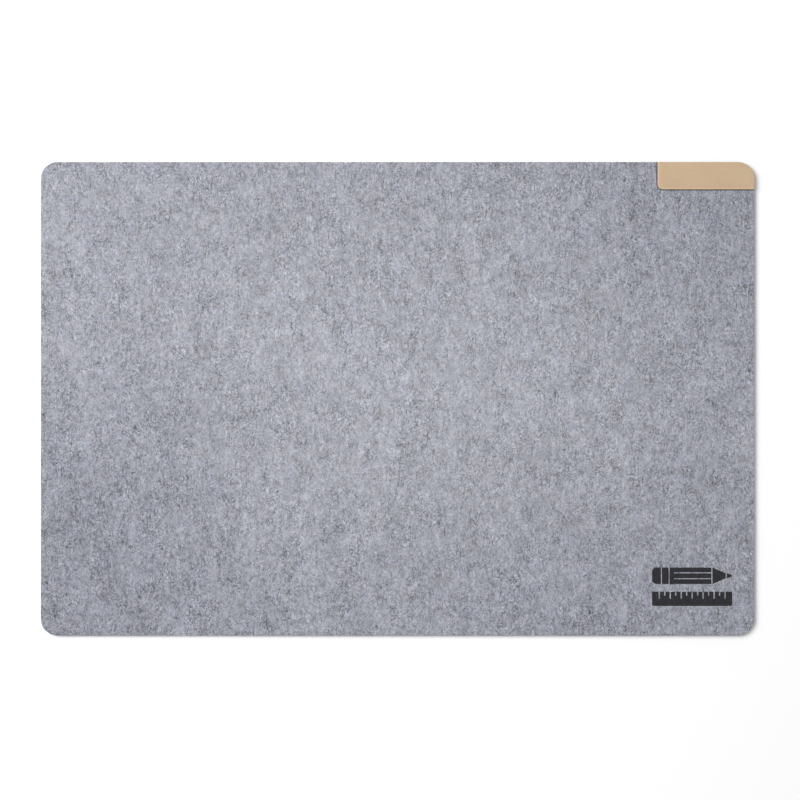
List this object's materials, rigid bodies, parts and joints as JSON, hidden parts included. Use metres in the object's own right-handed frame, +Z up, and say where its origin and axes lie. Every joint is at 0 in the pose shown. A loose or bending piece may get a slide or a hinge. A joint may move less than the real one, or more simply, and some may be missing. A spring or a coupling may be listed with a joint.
{
  "type": "desk mat",
  "caption": "Flat rectangular felt desk mat with rounded corners, a leather patch over one corner and a small printed pictogram.",
  "frame": {"origin": "middle of the underside, on the surface that the mat lies on", "axes": "+X along the mat's length towards the side with the leather patch, +Y towards the far long edge that holds the patch, +Z up out of the felt face"},
  "size_m": [0.65, 0.4314, 0.0052],
  "materials": {
    "felt": "matte",
    "backing": "matte",
    "film": "matte",
    "leather": "satin",
    "tape": "matte",
    "ink": "matte"
  },
  "bodies": {
    "root": {"anti_slip_backing": "backing", "laminating_film": "film", "felt_sheet": "felt", "patch_tape": "tape", "leather_patch": "leather", "print_pencil_eraser": "ink", "print_pencil_ferrule": "ink", "print_pencil_shaft": "ink", "print_pencil_cone": "ink", "print_pencil_lead": "ink", "print_ruler": "ink"}
  },
  "joints": []
}
